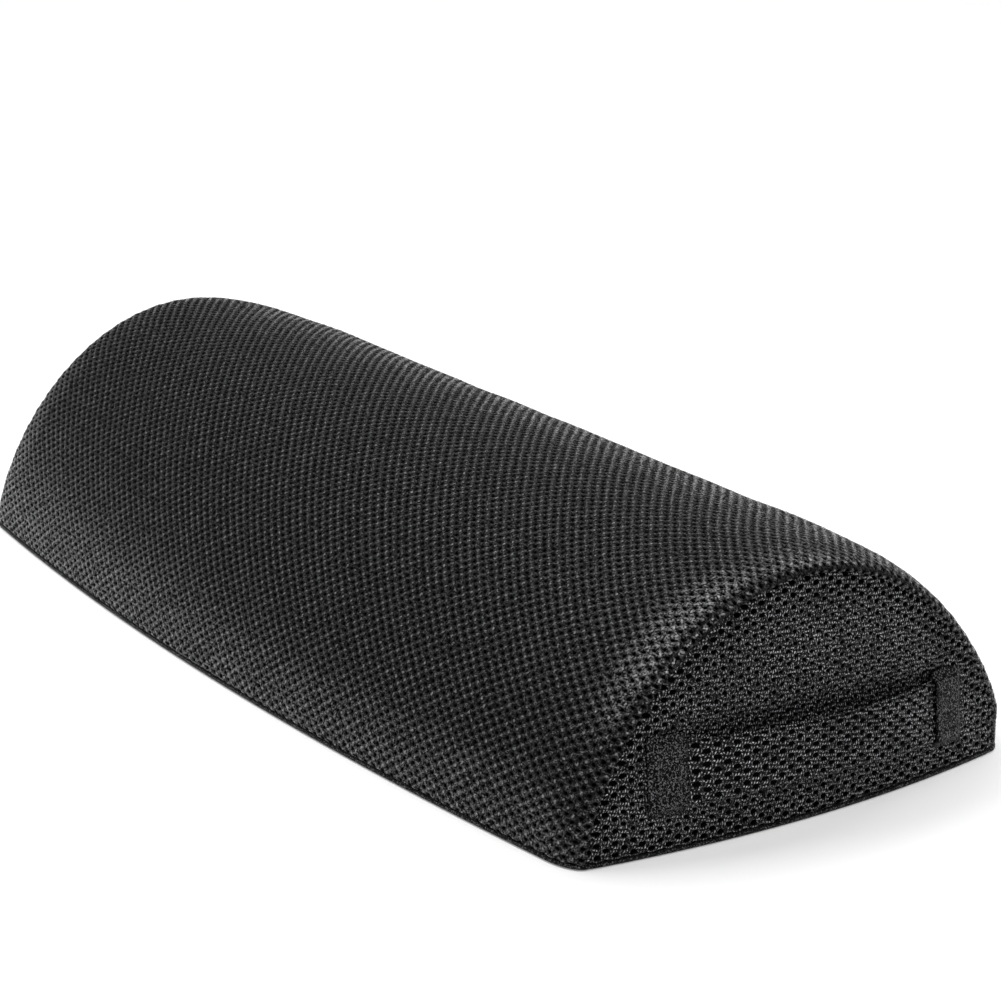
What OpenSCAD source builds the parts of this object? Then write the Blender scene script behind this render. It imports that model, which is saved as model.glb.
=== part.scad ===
// Half-moon foot-rest cushion: a foam core in a zipped cover of spacer mesh,
// with a sewn carry handle on its right end. Millimetres, +Z up.
// The origin is on the floor under the middle of the cushion. +X is the handle end,
// -Y the side of the person who uses it, and +Y the side with the zip.

/* [Cushion] */
// Length between the two end seams
seam_l = 480; // [440:5:560]
// Depth from front to back at the middle
depth = 236; // [216:2:270]
// Height of the crown above the floor
height = 98; // [85:1:120]
// Fullness of the two long sides, higher is squarer
side_curve = 2; // [1.7:0.01:2.3]
// Fullness of the crown, higher is flatter
crown_curve = 1.53; // [1.4:0.01:1.9]
// How far the front edge draws in from its middle to an end seam
front_draw = 14; // [4:0.5:18]
// How far the rear edge draws in from the zip's ends to an end seam
rear_draw = 13; // [4:0.5:18]
// How far an end panel bulges past its seam at the floor
end_bulge = 9; // [5:0.5:14]
// Shape of that bulge from the floor up to the seam, 1 is straight
bulge_curve = 1.3; // [1:0.05:2]
// Length of the rounded shoulder before an end seam
shoulder_l = 14; // [9:1:20]
// Drop of that shoulder at the seam
shoulder_drop = 6.5; // [4.5:0.5:10]

/* [Fabric] */
// Thickness of the spacer mesh
mesh_t = 3; // [2:0.1:4]
// Thickness of the base fabric
base_t = 1.4; // [0.8:0.1:2.4]
// Play between pieces that lie on each other along a curve
seat = 0.3; // [0.2:0.05:0.4]

/* [Grip dots] */
// Diameter of a printed dot
dot_d = 4; // [2:0.5:6]
// Height of a dot
dot_h = 0.6; // [0.4:0.1:1]
// Distance between neighbouring dots
dot_pitch = 18; // [15:1:30]
// Bare margin around the dots
dot_margin = 12; // [9:1:20]

/* [Handle] */
// Distance between the outer edges of the two tabs
handle_span = 148; // [130:2:156]
// Width of a tab along the handle
tab_w = 17; // [14:1:22]
// Height of a tab
tab_h = 30; // [30:1:36]
// Thickness of the tab fabric
tab_t = 1.2; // [0.8:0.1:1.6]
// Height of the handle's centre line above the floor
handle_z = 29; // [27:0.5:34]
// Width of the strap
strap_w = 23; // [18:0.5:23]
// Thickness of the strap between the tabs
strap_t = 2.8; // [2:0.1:4]
// Thickness of the strap where a tab holds it
strap_end_t = 2; // [1.2:0.1:2.4]
// Finger gap behind the middle of the strap
finger_gap = 5.4; // [5:0.2:9]
// Rise of the strap's middle above its ends
strap_rise = 1.8; // [0:0.2:3]
// How much lower the rear tab is sewn than the front one
handle_drop = 3.4; // [0:0.2:4]

/* [Zip] */
// Length of the zip's tapes
zip_l = 350; // [250:5:380]
// Height of the band that both tapes fill
zip_band = 16; // [14:0.5:20]
// How far the tapes lie behind the edge of the mesh
zip_recess = 1; // [0.6:0.1:1.6]
// Thickness of a tape
tape_t = 0.6; // [0.4:0.05:0.8]
// Distance from one tooth to the next on a tape
tooth_pitch = 2.6; // [2.4:0.1:3.2]
// Thickness of a tooth
tooth_t = 2; // [1.6:0.1:2.4]
// Width of a tooth's neck
neck_w = 0.9; // [0.7:0.05:1]
// Length of the slider
slider_l = 9.5; // [8:0.5:12]
// Thickness of the slider's two plates
plate_t = 0.9; // [0.7:0.1:1.2]
// Length of the pull tab from its hinge
pull_l = 24; // [18:1:32]
// Width of the pull tab
pull_w = 7; // [6:0.5:9]
// Thickness of the pull tab and of its hinge bar
pull_t = 1.2; // [1:0.1:1.4]

/* [Hidden] */

mesh_color = "#26272a";
plain_color = "#1d1e21";

// Levels and half lengths
seam_half = seam_l / 2;
deck = dot_h + base_t;
crown = height - deck;
zip_top = deck + zip_band;
notch_half = zip_l / 2 + seat;

// Steps of the curved grids
mid_steps = 4;
corner_steps = 3;
shoulder_steps = 5;
front_rows = 11;
rear_rows = 9;
last_row = front_rows + rear_rows + 1;
end_rings = 8;

function lerp(a, b, t) = a + (b - a) * t;

// Half depth of the base on the front and on the rear side, at x
function front_w(x) = depth / 2 - front_draw * pow(x / seam_half, 2);
function rear_w(x) =
    depth / 2 - rear_draw * pow(max(0, abs(x) - notch_half) / (seam_half - notch_half), 1.5);

// The half-moon profile: height as a share of the crown at a share c of the half depth,
// and the share c at which it has a given height
function arch_z(c) = pow(max(0, 1 - pow(abs(c), side_curve)), 1 / crown_curve);
function arch_c(h) = pow(max(0, 1 - pow(h, crown_curve)), 1 / side_curve);

// Share of the half depth at which the rear side turns into the upright zip band
function band_c(inset) = arch_c(zip_band / (crown - inset));

// Stations along the cushion, each [x, inset], for a skin that lies an offset inside the
// outside. The insets grow along the rounded shoulder until they reach the seam.
function side_stations(offset) = concat(
    [for (k = [1:mid_steps]) [notch_half * k / mid_steps, offset]],
    [for (k = [1:corner_steps])
        [lerp(notch_half, seam_half - shoulder_l, k / corner_steps), offset]],
    [for (k = [1:shoulder_steps]) let (a = 90 * k / shoulder_steps)
        [seam_half - shoulder_l + (shoulder_l - offset) * sin(a),
            shoulder_drop - (shoulder_drop - offset) * cos(a)]]);
function stations(offset) = let (side = side_stations(offset)) concat(
    [for (k = [len(side) - 1:-1:0]) [-side[k][0], side[k][1]]], [[0, offset]], side);

// Row j of the skin runs from the front edge over the crown to the rear edge
function row_c(j, inset) = j <= front_rows ? -cos(90 * j / front_rows)
    : band_c(inset) * sin(90 * min(j - front_rows, rear_rows) / rear_rows);
function skin_point(station, j, room = 0) = let (
    x = station[0],
    inset = station[1],
    c = row_c(j, inset),
    w = c < 0 ? front_w(x) : rear_w(x) - room)
    [x, (w - inset) * c, j == last_row ? deck : deck + (crown - inset) * arch_z(c)];
function skin(offset) = [for (s = stations(offset)) [for (j = [0:last_row]) skin_point(s, j)]];

// The right end: its half depths at the seam, its rim, and its bulged face
end_front = front_w(seam_half) - shoulder_drop;
end_rear_full = rear_w(seam_half) - shoulder_drop;
end_rear = end_rear_full * band_c(shoulder_drop);
function rim_h(y) = (crown - shoulder_drop) * arch_z(y < 0 ? y / end_front : y / end_rear_full);
function end_x(y, z) = let (
    s = y < 0 ? y / end_front : y / end_rear,
    k = min(1, max(0, z - deck) / max(0.01, rim_h(y))))
    seam_half + end_bulge * max(0, 1 - s * s) * (1 - pow(k, bulge_curve));

// Rings of the end face, from its middle at the floor out to a rim of the given inset,
// each point [y, z]
function end_ring(k, inset) = [for (j = [0:last_row])
    let (p = skin_point([seam_half, inset], j)) [p[1] * k, deck + (p[2] - deck) * k]];
function end_face(inset, offset) = [for (i = [0:end_rings])
    [for (p = end_ring(i / end_rings, inset)) [end_x(p[0], p[1]) - offset, p[0], p[1]]]];

// A sheet between two grids of points: [i][j] are matching points of its two faces, and
// keep(i, j) says which cells it has. With pole set, all points of row 0 are one point.
module sheet(face, back, keep, pole = false) {
    ni = len(face) - 1;
    nj = len(face[0]) - 1;
    shift = (ni + 1) * (nj + 1);
    function id(i, j) = pole && i == 0 ? 0 : i * (nj + 1) + j;
    function has(i, j) = i >= 0 && i < ni && j >= 0 && j < nj && keep(i, j);
    function wall(p, q) = [[p, q, q + shift], [p, q + shift, p + shift]];
    faces = [for (i = [0:ni - 1], j = [0:nj - 1]) if (has(i, j))
        let (a = id(i, j), b = id(i + 1, j), c = id(i + 1, j + 1), d = id(i, j + 1))
        each concat(
            [[a, d, c], [a, c, b]],
            [[a + shift, b + shift, c + shift], [a + shift, c + shift, d + shift]],
            has(i, j - 1) ? [] : wall(a, b),
            has(i + 1, j) ? [] : wall(b, c),
            has(i, j + 1) ? [] : wall(c, d),
            has(i - 1, j) ? [] : wall(d, a))];
    polyhedron(
        points = [for (grid = [face, back]) for (row = grid) each row],
        faces = [for (f = faces) if (f[0] != f[1] && f[1] != f[2] && f[2] != f[0]) f]);
}

// A closed body through rings of points, with a tip at each end
module loft(rings, tip_a, tip_b) {
    nj = len(rings[0]);
    last = len(rings) - 1;
    function id(i, j) = 2 + i * nj + j % nj;
    polyhedron(
        points = concat([tip_a, tip_b], [for (ring = rings) each ring]),
        faces = concat(
            [for (j = [0:nj - 1]) [id(0, j + 1), id(0, j), 0]],
            [for (j = [0:nj - 1]) [id(last, j), id(last, j + 1), 1]],
            [for (i = [0:last - 1], j = [0:nj - 1])
                let (a = id(i, j), b = id(i + 1, j), c = id(i + 1, j + 1), d = id(i, j + 1))
                each [[a, d, c], [a, c, b]]]));
}

// Foam block, with room on the rear side for the back of the zip slider
foam_offset = mesh_t + seat;
foam_room = 0.5;

module foam_core() {
    face = end_face(shoulder_drop, foam_offset);
    middle = [for (s = stations(foam_offset))
        [for (j = [0:last_row]) skin_point(s, j, foam_room)]];
    right = [for (i = [end_rings - 1:-1:1]) face[i]];
    left = [for (i = [1:end_rings - 1]) [for (p = face[i]) [-p[0], p[1], p[2]]]];
    tip = face[0][0];
    color("#4a4b4f") loft(concat(left, middle, right), [-tip[0], 0, deck], tip);
}

// The mesh that wraps over the crown, notched at the rear for the zip band
module top_panel() {
    outer = skin(0);
    inner = skin(mesh_t);
    first = shoulder_steps + corner_steps;
    color(mesh_color) sheet(outer, inner, function(i, j)
        !(j == last_row - 1 && i >= first && i < first + 2 * mid_steps));
}

// An end panel lies inside the top panel's rim
module end_panel() {
    color(mesh_color) sheet(end_face(shoulder_drop + seat, mesh_t),
        end_face(shoulder_drop + seat, 0), function(i, j) true, pole = true);
}

module end_panel_right() { end_panel(); }

module end_panel_left() { mirror([1, 0, 0]) end_panel(); }

// Outline of the base, flush with the panels that stand on it
end_steps = 10;
function base_side(side) = [for (s = stations(0))
    [s[0], side < 0 ? -(front_w(s[0]) - s[1]) : (rear_w(s[0]) - s[1]) * band_c(s[1])]];
function base_end() = [for (k = [1:end_steps - 1])
    let (s = 2 * k / end_steps - 1, y = s * (s < 0 ? end_front : end_rear)) [end_x(y, deck), y]];
function reversed(list) = [for (k = [len(list) - 1:-1:0]) list[k]];
base_outline = concat(base_side(-1), base_end(), reversed(base_side(1)),
    [for (p = reversed(base_end())) [-p[0], p[1]]]);

module base_panel() {
    color(plain_color) translate([0, 0, dot_h]) linear_extrude(base_t) polygon(base_outline);
}

// Printed grip dots in staggered rows, the middle one on the origin
dot_row = dot_pitch * sin(60);
function on_base(x, y) = abs(x) < end_x(y, deck) - dot_margin
    && y > dot_margin - front_w(x) && y < rear_w(x) * band_c(0) - dot_margin;

module grip_dots() {
    columns = ceil(seam_half / dot_pitch) + 1;
    rows = ceil(depth / 2 / dot_row);
    color("#3a3b3e") for (r = [-rows:rows], k = [-columns:columns]) {
        x = (k + abs(r % 2) / 2) * dot_pitch;
        y = r * dot_row;
        if (on_base(x, y)) translate([x, y, 0]) cylinder(d = dot_d, h = dot_h, $fn = 24);
    }
}

// Handle: places of its tabs, and the strap's bow between them
tab_out = handle_span / 2;
tab_in = tab_out - tab_w;
hem = 1;
ramp = 2.5;
strap_end = tab_out - hem - ramp - seat;
held_steps = 3;
free_steps = 18;
strap_edge = 0.8;
bow_x = end_x(0, handle_z + strap_rise - strap_w / 2) + finger_gap;

// Height of the handle's centre line at y
function line_z(y) = handle_z - handle_drop / 2 * y / ((tab_in + tab_out) / 2);
function bow(y) = max(0, 1 - pow(y / tab_in, 2));
function strap_point(y, v, f) = let (
    z = line_z(y) + strap_rise * bow(y) + v,
    t = lerp(strap_end_t, strap_t, min(1, 4 * bow(y))))
    [lerp(end_x(y, z) + seat, bow_x, bow(y)) + t * f, y, z];

// Section of the strap: [distance from its centre line, share of its thickness]
strap_section = let (w = strap_w / 2) [
    [-w, 0.5], [strap_edge - w, 1], [-w / 2, 1], [0, 1], [w / 2, 1], [w - strap_edge, 1],
    [w, 0.5], [w - strap_edge, 0], [w / 2, 0], [0, 0], [-w / 2, 0], [strap_edge - w, 0]];

// Stations of the strap: under the front tab, free between the tabs, under the rear tab
strap_ys = concat(
    [for (k = [0:held_steps - 1]) lerp(-strap_end, -tab_in, k / held_steps)],
    [for (k = [0:free_steps]) lerp(-tab_in, tab_in, k / free_steps)],
    [for (k = [1:held_steps]) lerp(tab_in, strap_end, k / held_steps)]);

module handle_strap() {
    color(mesh_color) loft(
        [for (y = strap_ys) [for (s = strap_section) strap_point(y, s[0], s[1])]],
        strap_point(-strap_end, 0, 0.5), strap_point(strap_end, 0, 0.5));
}

// A tab is one patch of fabric: sewn flat to the panel at its hem, and raised over the
// end of the strap
across_steps = 4;
up_steps = 6;
raised = hem + ramp;
tab_across = concat([0, hem],
    [for (k = [0:across_steps]) lerp(raised, tab_w, k / across_steps)]);
tab_up = concat([0, hem],
    [for (k = [0:up_steps]) lerp(raised, tab_h - raised, k / up_steps)], [tab_h - hem, tab_h]);
function rise_at(d) = min(1, max(0, d - hem) / ramp);
function tab_face(side, top) = [for (k = [0:len(tab_across) - 1])
    let (d = tab_across[side < 0 ? k : len(tab_across) - 1 - k], y = side * (tab_out - d))
    [for (h = tab_up) let (
        z = line_z(y) + h - tab_h / 2,
        lift = (strap_end_t + seat) * rise_at(d) * rise_at(min(h, tab_h - h)))
        [end_x(y, z) + seat + lift + (top ? tab_t : 0), y, z]]];

module handle_tab(side) {
    color(plain_color) sheet(tab_face(side, true), tab_face(side, false),
        function(i, j) true);
}

module handle_tab_front() { handle_tab(-1); }

module handle_tab_rear() { handle_tab(1); }

// Zip: its pieces are drawn flat, x along the zip and z out of the cushion, and stood up
// on the rear side. The lower tape's side is +y in that drawing.
zip_y = depth / 2 * band_c(0) - zip_recess;
zip_z = deck + zip_band / 2;
module on_zip(x = 0) { translate([x, zip_y, zip_z]) rotate([-90, 0, 0]) children(); }
module thick(t) { linear_extrude(t, center = true) children(); }

// Chain: the tape's edge, the roots that clamp it, and the interlocking heads
tape_edge = 1.6;
root_out = 2.9;
root_in = 1.2;
head_near = 0.1;
head_far = 1.1;
tooth_play = 0.12;
root_w = tooth_pitch - 0.7;
head_w = tooth_pitch - neck_w - 2 * tooth_play;

// Slider and stops
slider_play = 0.25;
flange_t = 0.6;
channel_w = 2 * (root_out + 0.4);
channel_h = tooth_t + 2 * slider_play;
slot_h = tape_t + 2 * slider_play;
plate_top = channel_h / 2 + plate_t;
post_l = 3.4;
stop_l = 2.5;
stop_end = 3;
stop_play = 0.5;
slider_x = stop_end + stop_l + stop_play + slider_l / 2 - zip_l / 2;
chain_start = slider_x - slider_l / 2 + post_l + root_w;
chain_end = zip_l / 2 - stop_end - stop_l - stop_play;

// Bail over the slider and the bar of the pull tab that turns inside it
bail_w = 1.6;
bail_half = 3.2;
bail_t = 1.2;
bar_play = 0.3;
bar_z = plate_top + bar_play + pull_t / 2;
bail_in = bar_z + pull_t / 2 + bar_play;
bail_top = bail_in + 0.6;
eye_w = bail_w + 1;
eye_l = bail_half + 0.7;
eye_frame = 1;

module zip_tape(side) {
    width = zip_band / 2 - tape_edge;
    color(plain_color) on_zip() translate([0, side * (tape_edge + width / 2), 0])
        cube([zip_l, width, tape_t], center = true);
}

module zip_tape_upper() { zip_tape(-1); }

module zip_tape_lower() { zip_tape(1); }

module tooth() {
    thick(tooth_t) polygon([
        [-neck_w / 2, tape_edge], [-neck_w / 2, -head_near], [-head_w / 2, -head_near - 0.3],
        [0.15 - head_w / 2, -head_far], [head_w / 2 - 0.15, -head_far],
        [head_w / 2, -head_near - 0.3], [neck_w / 2, -head_near], [neck_w / 2, tape_edge]]);
    for (side = [-1, 1])
        translate([0, (root_in + root_out) / 2, side * (tooth_t + tape_t) / 4])
            cube([root_w, root_out - root_in, (tooth_t - tape_t) / 2], center = true);
}

module zip_teeth(side) {
    start = chain_start + (side < 0 ? tooth_pitch / 2 : 0);
    count = floor((chain_end - start - root_w / 2) / tooth_pitch);
    color("#17181a") on_zip() for (k = [0:count])
        translate([start + k * tooth_pitch, 0, 0]) mirror([0, side < 0 ? 1 : 0, 0]) tooth();
}

module zip_teeth_upper() { zip_teeth(-1); }

module zip_teeth_lower() { zip_teeth(1); }

// A stop clamps the tape's edge, so it has a slot as thick as the tape
module zip_stop(x, inner) {
    on_zip(x) difference() {
        translate([0, (inner + root_out) / 2, 0])
            cube([stop_l, root_out - inner, channel_h - 0.3], center = true);
        translate([0, tape_edge + root_out / 2, 0])
            cube([2 * stop_l, root_out, tape_t], center = true);
    }
}

module zip_top_stops() {
    color("#8d8f92") for (side = [-1, 1])
        translate([0, 0, zip_z]) mirror([0, 0, side < 0 ? 1 : 0]) translate([0, 0, -zip_z])
            zip_stop(stop_end + stop_l / 2 - zip_l / 2, 0.4);
}

module zip_bottom_stop() {
    color("#8d8f92") on_zip(zip_l / 2 - stop_end - stop_l / 2) difference() {
        cube([stop_l, 2 * root_out, channel_h - 0.3], center = true);
        for (side = [-1, 1]) translate([0, side * (tape_edge + root_out / 2), 0])
            cube([2 * stop_l, root_out, tape_t], center = true);
    }
}

// Plan of a slider plate, wide at the nose, where the two rows of teeth part
module slider_plan() {
    tail = channel_w / 2 + flange_t;
    nose = tail + 0.5;
    half = slider_l / 2;
    polygon([
        [-half, -nose + 1.4], [-half + 1.2, -nose], [-half + 3.4, -nose], [0, -tail],
        [half - 0.9, -tail], [half, 0.9 - tail], [half, tail - 0.9], [half - 0.9, tail],
        [0, tail], [-half + 3.4, nose], [-half + 1.2, nose], [-half, nose - 1.4]]);
}

module zip_slider() {
    flange_h = (channel_h - slot_h) / 2;
    color("#9a9b9e") on_zip(slider_x) {
        for (side = [-1, 1]) {
            translate([0, 0, side * (channel_h + plate_t) / 2]) thick(plate_t) slider_plan();
            for (face = [-1, 1])
                translate([0, side * (channel_w + flange_t) / 2, face * (slot_h + flange_h) / 2])
                    cube([slider_l - 1.8, flange_t, flange_h], center = true);
        }
        thick(channel_h) polygon([[0.2 - slider_l / 2, -1], [0.2 - slider_l / 2, 1],
            [post_l - slider_l / 2, 0]]);
        rotate([90, 0, 0]) thick(bail_w) difference() {
            polygon([[-bail_half, plate_top], [bail_half, plate_top],
                [bail_half, bail_top - 0.9], [bail_half - 0.9, bail_top],
                [0.9 - bail_half, bail_top], [-bail_half, bail_top - 0.9]]);
            polygon([[bail_t - bail_half, plate_top], [bail_half - bail_t, plate_top],
                [bail_half - bail_t, bail_in], [bail_t - bail_half, bail_in]]);
        }
    }
}

// The pull tab lies flat towards the zip's closed end, its bar through the bail
module zip_pull() {
    frame_w = eye_w + 2 * eye_frame;
    color("#9a9b9e") on_zip(slider_x) translate([0, 0, bar_z]) mirror([1, 0, 0]) {
        rotate([90, 0, 0]) cylinder(d = pull_t, h = frame_w, center = true, $fn = 32);
        thick(pull_t) difference() {
            union() {
                translate([0, -frame_w / 2]) square([pull_l / 2, frame_w]);
                translate([eye_l + eye_frame, -pull_w / 2])
                    square([pull_l - eye_l - eye_frame - pull_w / 2, pull_w]);
                translate([pull_l - pull_w / 2, 0]) circle(d = pull_w, $fn = 48);
            }
            translate([0, -eye_w / 2]) square([eye_l, eye_w]);
            translate([pull_l - pull_w / 2, 0]) circle(d = 2.4, $fn = 32);
        }
    }
}

foam_core();
top_panel();
end_panel_right();
end_panel_left();
base_panel();
grip_dots();
handle_strap();
handle_tab_front();
handle_tab_rear();
zip_tape_upper();
zip_tape_lower();
zip_teeth_upper();
zip_teeth_lower();
zip_top_stops();
zip_bottom_stop();
zip_slider();
zip_pull();
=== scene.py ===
import math
import bpy
import bmesh
import numpy as np
from mathutils import Matrix, Vector
from mathutils.kdtree import KDTree


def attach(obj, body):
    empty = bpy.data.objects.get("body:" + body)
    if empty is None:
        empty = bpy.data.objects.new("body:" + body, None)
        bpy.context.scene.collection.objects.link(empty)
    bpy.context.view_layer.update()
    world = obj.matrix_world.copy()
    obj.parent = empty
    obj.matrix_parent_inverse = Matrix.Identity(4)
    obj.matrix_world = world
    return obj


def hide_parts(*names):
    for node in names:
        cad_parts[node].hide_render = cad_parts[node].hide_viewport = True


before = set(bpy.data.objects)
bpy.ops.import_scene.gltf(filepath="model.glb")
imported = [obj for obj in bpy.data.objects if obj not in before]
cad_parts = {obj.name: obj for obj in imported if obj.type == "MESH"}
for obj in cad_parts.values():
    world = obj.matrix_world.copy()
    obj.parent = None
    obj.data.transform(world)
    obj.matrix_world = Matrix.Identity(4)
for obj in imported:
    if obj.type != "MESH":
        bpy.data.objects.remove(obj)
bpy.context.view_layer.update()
scene = bpy.context.scene
mm = 0.001
tiny = 0.01 * mm
random = np.random.default_rng(7)

# The cushion's form, as the CAD panels have it
cushion = {
    "seamHalf": 240 * mm,
    "depth": 236 * mm,
    "deck": 2 * mm,
    "crown": 96 * mm,
    "crownCurve": 1.53,
    "frontDraw": 14 * mm,
    "rearDraw": 13 * mm,
    "rearCurve": 1.5,
    "notchHalf": 175.3 * mm,
    "zipBand": 16 * mm,
    "shoulderLength": 14 * mm,
    "shoulderDrop": 6.5 * mm,
    "endBulge": 9 * mm,
    "bulgeCurve": 1.3,
}
# The cloth sinks a little where a shoulder starts, but not at the floor
ease = {"depth": 1 * mm, "middle": 4 * mm, "spread": 8 * mm, "fromFloor": 40 * mm}
seamHalf, deck, crown = cushion["seamHalf"], cushion["deck"], cushion["crown"]
shoulderLength, shoulderDrop = cushion["shoulderLength"], cushion["shoulderDrop"]
notch, zipBand = cushion["notchHalf"], cushion["zipBand"]
flatHalf = seamHalf - shoulderLength


def lerp(a, b, t):
    return a + (b - a) * t


def softStep(value):
    share = np.clip(value, 0, 1)
    return share * share * (3 - 2 * share)


def frontWidth(x):
    return cushion["depth"] / 2 - cushion["frontDraw"] * (x / seamHalf) ** 2


def rearWidth(x):
    beyond = np.maximum(0, np.abs(x) - notch) / (seamHalf - notch)
    return cushion["depth"] / 2 - cushion["rearDraw"] * beyond ** cushion["rearCurve"]


def archHeight(share):
    return np.maximum(0, 1 - share * share) ** (1 / cushion["crownCurve"])


def bandShare(inset):
    height = zipBand / (crown - inset)
    return np.sqrt(np.maximum(0, 1 - height ** cushion["crownCurve"]))


def runLengths(a, b):
    return np.concatenate([[0], np.cumsum(np.hypot(np.diff(a), np.diff(b)))])


# Lengths measured over the crown and round the shoulder, so that the mesh keeps its pitch
quarter = np.linspace(0, math.pi / 2, 300)
profileShares = np.concatenate([-np.cos(quarter), bandShare(0) * np.sin(quarter[1:])])
profileLengths = runLengths(cushion["depth"] / 2 * profileShares, crown * archHeight(profileShares))
profileLength = profileLengths[-1]
shoulderLengths = runLengths(shoulderLength * np.sin(quarter), shoulderDrop * (1 - np.cos(quarter)))
sideHalf = flatHalf + shoulderLengths[-1]


def sideSurface(s, t):
    # s runs along the cushion and round its shoulders, t from the front edge over the crown
    angle = np.interp(np.abs(s) - flatHalf, shoulderLengths, quarter)
    reach = np.where(np.abs(s) < flatHalf, np.abs(s), flatHalf + shoulderLength * np.sin(angle))
    x = reach * np.sign(s)
    eased = np.exp(-((np.abs(s) - flatHalf - ease["middle"]) / ease["spread"]) ** 2)
    eased *= softStep(t / ease["fromFloor"]) * softStep((profileLength - t) / ease["fromFloor"])
    inset = shoulderDrop * (1 - np.cos(angle)) + ease["depth"] * eased
    share = np.interp(t, profileLengths, profileShares)
    share = np.where(share < 0, share, share / bandShare(0) * bandShare(inset))
    width = np.where(share < 0, frontWidth(x), rearWidth(x))
    z = deck + (crown - inset) * archHeight(share)
    down = np.clip((t - profileLength) / zipBand, 0, 1)
    return np.stack([x, (width - inset) * share, lerp(z, deck, down)], axis=-1)


endFront = float(frontWidth(seamHalf)) - shoulderDrop
endRearFull = float(rearWidth(seamHalf)) - shoulderDrop
endRear = endRearFull * float(bandShare(shoulderDrop))


def rimHeight(y):
    return (crown - shoulderDrop) * archHeight(y / np.where(y < 0, endFront, endRearFull))


def endSurface(y, z):
    across = y / np.where(y < 0, endFront, endRear)
    up = np.clip((z - deck) / np.maximum(tiny, rimHeight(y)), 0, 1)
    bulge = np.maximum(0, 1 - across ** 2) * (1 - up ** cushion["bulgeCurve"])
    return np.stack([seamHalf + cushion["endBulge"] * bulge, y, z], axis=-1)


# Mesh helpers
def newObject(name, mesh):
    piece = bpy.data.objects.new(name, mesh)
    scene.collection.objects.link(piece)
    return piece


def meshOf(bm):
    mesh = bpy.data.meshes.new("part")
    bm.to_mesh(mesh)
    bm.free()
    return mesh


def editMesh(mesh, change):
    bm = bmesh.new()
    bm.from_mesh(mesh)
    change(bm)
    bm.to_mesh(mesh)
    bm.free()
    mesh.update()
    return mesh


def weld(mesh, gap):
    return editMesh(mesh, lambda bm: bmesh.ops.remove_doubles(bm, verts=bm.verts, dist=gap))


def faceTowards(bm, axis):
    # Turns all faces round if they look down this axis
    if sum(face.normal[axis] for face in bm.faces) < 0:
        bmesh.ops.reverse_faces(bm, faces=bm.faces)


def bevel(bm, edges, offset, segments=2, clamp=False):
    bmesh.ops.bevel(bm, geom=edges, offset=offset, offset_type="OFFSET", segments=segments,
                    profile=0.5, affect="EDGES", clamp_overlap=clamp, material=-1)


def sharpEdges(bm, angle):
    return [edge for edge in bm.edges if edge.is_manifold and edge.calc_face_angle() > angle]


def axesAt(place, x, y, z):
    # Moves to a place and turns the three axes to these
    return Matrix.Translation(place) @ Matrix((x, y, z)).transposed().to_4x4()


def getCoords(mesh):
    coords = np.empty(len(mesh.vertices) * 3)
    mesh.vertices.foreach_get("co", coords)
    return coords.reshape(-1, 3)


def setCoords(mesh, coords):
    mesh.vertices.foreach_set("co", np.ascontiguousarray(coords, dtype=np.float64).ravel())
    mesh.update()


def appliedMesh(piece):
    graph = bpy.context.evaluated_depsgraph_get()
    mesh = bpy.data.meshes.new_from_object(piece.evaluated_get(graph))
    bpy.data.objects.remove(piece)
    return mesh


def keepNormals(mesh, normals):
    # Stores the panel's own normals for its material
    name, kind, domain = "panelNormal", "FLOAT_VECTOR", "POINT"
    kept = mesh.attributes.get(name) or mesh.attributes.new(name, kind, domain)
    kept.data.foreach_set("vector", np.ascontiguousarray(normals, dtype=np.float32).ravel())


def gridMesh(columns, rows, low, high):
    # A flat grid from the corner low to the corner high
    bm = bmesh.new()
    bmesh.ops.create_grid(bm, x_segments=columns, y_segments=rows, size=0.5)
    bmesh.ops.translate(bm, verts=bm.verts, vec=(0.5, 0.5, 0))
    bmesh.ops.scale(bm, verts=bm.verts, vec=(high[0] - low[0], high[1] - low[1], 1))
    bmesh.ops.translate(bm, verts=bm.verts, vec=(low[0], low[1], 0))
    return meshOf(bm)


def merged(meshes):
    # One mesh from several, which keep their numbers as material slots
    bm = bmesh.new()
    for index, mesh in enumerate(meshes):
        before = len(bm.faces)
        bm.from_mesh(mesh)
        bm.faces.ensure_lookup_table()
        for face in bm.faces[before:]:
            face.material_index = index
    return meshOf(bm)


def joined(name, meshes, materials):
    # One object from several meshes, each with its own material
    mesh = merged(meshes)
    mesh.name = name
    mesh.shade_smooth()
    for material in materials:
        mesh.materials.append(material)
    return newObject(name, mesh)


def mapWeave(bm, place):
    # A map in metres, which the weave's material reads
    uv = bm.loops.layers.uv.new("weave")
    for face in bm.faces:
        for loop in face.loops:
            loop[uv].uv = place(loop.vert)


def dress(piece, body, node):
    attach(piece, body)
    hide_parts(node)
    return piece


# Camera at the photograph's angle
camera = {"azimuth": 55.924, "elevation": 17.964, "distance": 1.3128, "lens": 108.3,
          "target": (-0.00493, 0.03074, 0.049), "sensor": 36, "near": 0.01, "far": 200}


def addCamera():
    azimuth, elevation = math.radians(camera["azimuth"]), math.radians(camera["elevation"])
    back = Vector((math.sin(azimuth) * math.cos(elevation), -math.cos(azimuth) * math.cos(elevation),
                   math.sin(elevation)))
    right = Vector((math.cos(azimuth), math.sin(azimuth), 0))
    viewer = newObject("camera", bpy.data.cameras.new("camera"))
    viewer.data.lens = camera["lens"]
    viewer.data.sensor_width = camera["sensor"]
    viewer.data.clip_start = camera["near"]
    viewer.data.clip_end = camera["far"]
    eye = Vector(camera["target"]) + back * camera["distance"]
    viewer.matrix_world = axesAt(eye, right, back.cross(right), back)
    scene.camera = viewer


addCamera()


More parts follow.
